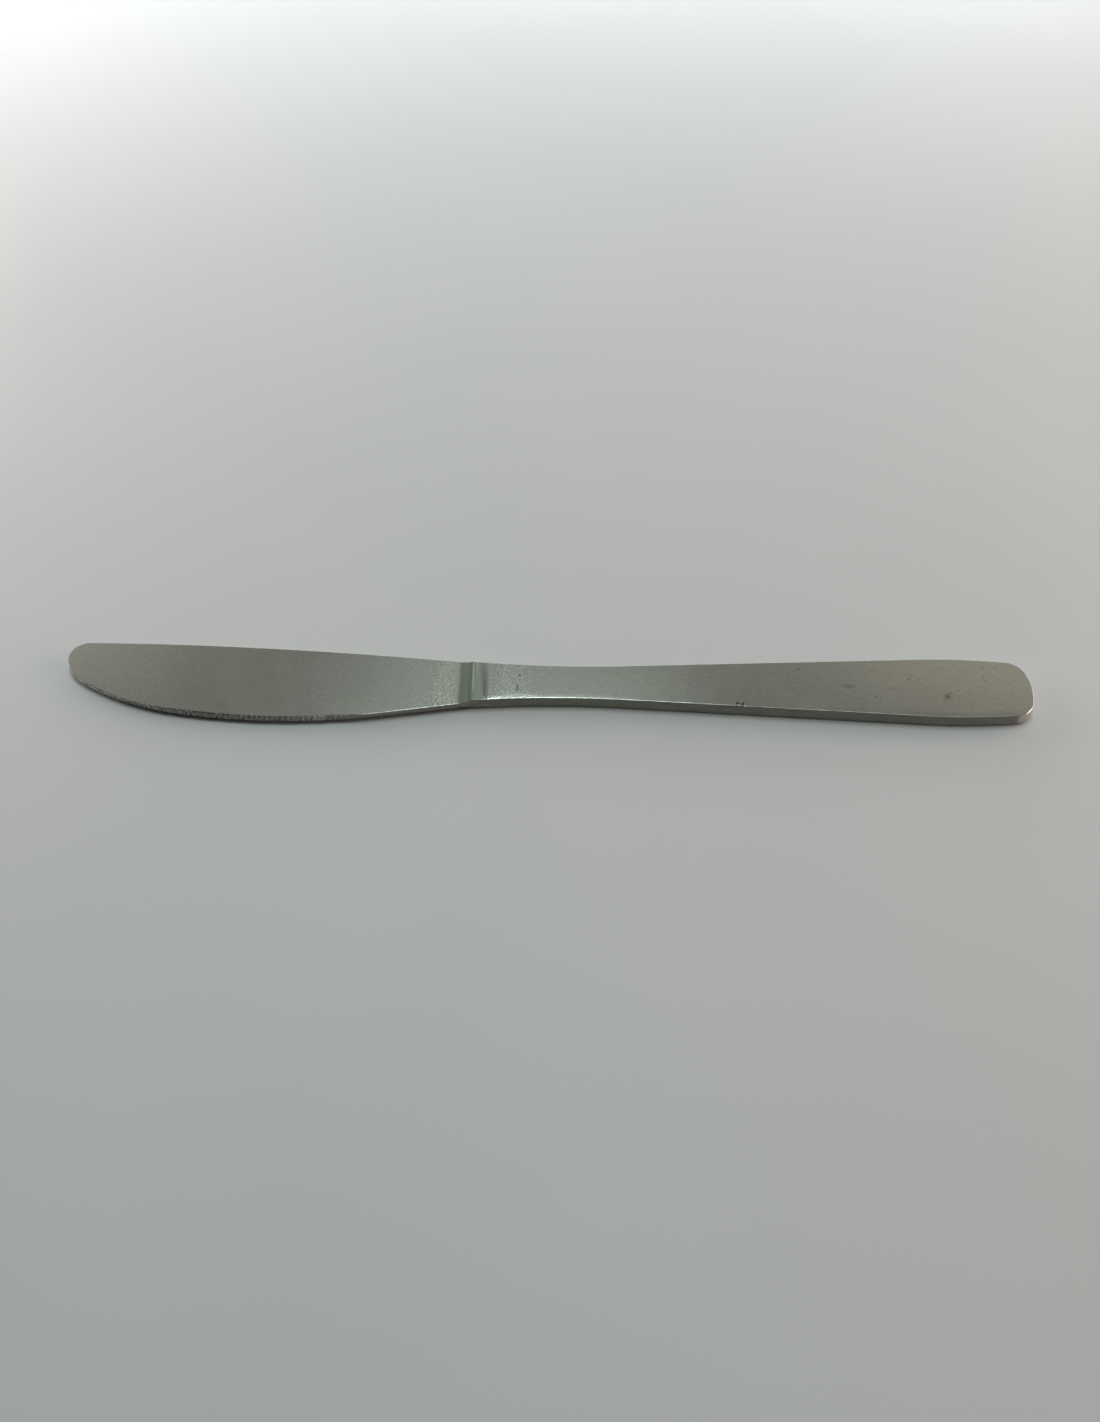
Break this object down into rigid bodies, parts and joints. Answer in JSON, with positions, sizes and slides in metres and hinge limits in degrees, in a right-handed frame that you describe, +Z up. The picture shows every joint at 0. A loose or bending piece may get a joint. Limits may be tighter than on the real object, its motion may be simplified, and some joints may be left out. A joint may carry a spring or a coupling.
{
  "type": "dessert knife",
  "caption": "Flat steel dessert knife: a rounded, fine-toothed blade welded to a plain handle that narrows at the neck and flares to a rounded butt.",
  "frame": {"origin": "halfway along the knife, on the handle's centre line, on the flat underside that the handle rests on", "axes": "+X along the knife toward the butt, +Y toward the spine, +Z up out of the upper face"},
  "size_m": [0.2058, 0.0204, 0.003],
  "materials": {
    "blade_steel": "ground across the blade, satin",
    "weld_steel": "dressed across the neck, satin",
    "handle_steel": "brushed along the handle, worn"
  },
  "bodies": {
    "root": {"blade": "blade_steel", "weld_band": "weld_steel", "handle": "handle_steel"}
  },
  "joints": []
}
